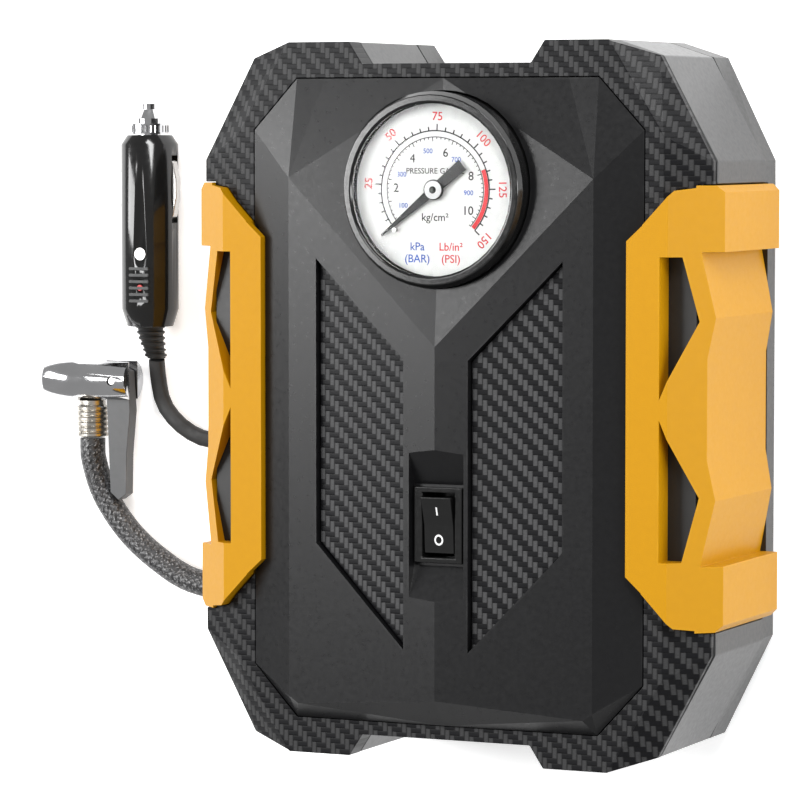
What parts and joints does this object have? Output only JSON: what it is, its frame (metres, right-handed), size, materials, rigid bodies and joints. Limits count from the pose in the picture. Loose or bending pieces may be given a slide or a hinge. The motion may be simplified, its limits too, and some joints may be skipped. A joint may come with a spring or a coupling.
{
  "type": "portable tyre inflator",
  "caption": "Handheld 12 V tyre inflator with a round pressure gauge, rocker switch, side grips, air hose with lever chuck and a lighter-socket plug.",
  "frame": {"origin": "centre of the casing's back plane, where it lies on a surface", "axes": "+Z out of the front face, +Y to the gauge end, +X to the right seen from the front"},
  "size_m": [0.2575, 0.218, 0.0816],
  "materials": {
    "yellow_plastic": "satin",
    "black_plastic": "satin",
    "graphite_plastic": "satin",
    "carbon_inlay": "gloss",
    "gloss_black": "gloss",
    "clear_lens": "gloss",
    "dial_white": "satin",
    "steel": "brushed",
    "chrome": "polished",
    "brass": "satin",
    "alloy": "cast",
    "rubber": "matt",
    "red_plastic": "gloss"
  },
  "bodies": {
    "rocker": {"switch_rocker": "gloss_black"},
    "pointer": {"gauge_pointer": "gloss_black"},
    "motor": {"motor_pinion": "steel"},
    "gear": {"drive_gear": "steel"},
    "piston": {"piston_rod": "alloy"},
    "lever": {"chuck_lever": "graphite_plastic"},
    "tip": {"plug_tip": "chrome"},
    "contact_left": {"plug_contact_1": "steel"},
    "contact_right": {"plug_contact_2": "steel"},
    "casing": {"back_cover": "black_plastic", "screw_1": "steel", "screw_2": "steel", "screw_3": "steel", "screw_4": "steel", "rear_shell": "graphite_plastic", "front_frame": "black_plastic", "grip_right": "yellow_plastic", "grip_left": "yellow_plastic", "front_cover": "graphite_plastic", "inset_right": "carbon_inlay", "inset_left": "carbon_inlay", "gauge_bezel": "gloss_black", "gauge_lens": "clear_lens", "gauge_dial": "dial_white", "gauge_case": "steel", "gauge_stem": "brass", "gauge_stop_pin": "steel", "switch_body": "gloss_black", "switch_terminal_1": "brass", "switch_terminal_2": "brass", "motor_can": "steel", "cylinder": "alloy", "cylinder_head": "alloy", "gearbox_plate": "steel", "air_hose": "rubber", "hose_ferrule": "steel", "hose_gland": "black_plastic", "chuck_body": "chrome", "chuck_seal": "rubber", "chuck_pin": "steel", "power_cord": "rubber", "cord_coil": "rubber", "cord_tail": "rubber", "cord_gland": "black_plastic", "plug_body": "black_plastic", "plug_collar": "chrome", "plug_screw": "steel", "plug_led": "red_plastic", "plug_boot": "rubber"}
  },
  "joints": [
    {"name": "switch_rock", "type": "hinge", "parent": "casing", "child": "rocker", "pos_m": [0, -0.0365, 0.073], "axis": [1, 0, 0], "range_deg": [-20, 0]},
    {"name": "pressure_needle", "type": "hinge", "parent": "casing", "child": "pointer", "pos_m": [0, 0.0644, 0.0785], "axis": [0, 0, 1], "range_deg": [-261, 0], "stiffness_Nm_per_rad": 0.0002},
    {"name": "crank_turn", "type": "hinge", "parent": "casing", "child": "gear", "pos_m": [-0.0057, -0.009, 0.041], "axis": [0, 1, 0], "continuous": true},
    {"name": "motor_turn", "type": "hinge", "parent": "casing", "child": "motor", "pos_m": [-0.03, -0.009, 0.041], "axis": [0, 1, 0], "continuous": true},
    {"name": "rod_swing", "type": "hinge", "parent": "gear", "child": "piston", "pos_m": [-0.0057, -0.002, 0.045], "axis": [0, 1, 0], "continuous": true},
    {"name": "lever_flip", "type": "hinge", "parent": "casing", "child": "lever", "pos_m": [-0.1449, 0, 0.008], "axis": [0, 0, 1], "range_deg": [0, 52]},
    {"name": "tip_press", "type": "slide", "parent": "casing", "child": "tip", "axis": [0, -1, 0], "range_m": [0, 0.0015], "stiffness_N_per_m": 800, "springref_m": -0.001},
    {"name": "contact_left_press", "type": "slide", "parent": "casing", "child": "contact_left", "axis": [1, 0, 0], "range_m": [0, 0.0007], "stiffness_N_per_m": 500, "springref_m": -0.001},
    {"name": "contact_right_press", "type": "slide", "parent": "casing", "child": "contact_right", "axis": [-1, 0, 0], "range_m": [0, 0.0007], "stiffness_N_per_m": 500, "springref_m": -0.001}
  ],
  "couplings": [
    {"joint": "motor_turn", "follows": "crank_turn", "ratio": -4.9},
    {"joint": "rod_swing", "follows": "crank_turn", "ratio": -1}
  ]
}
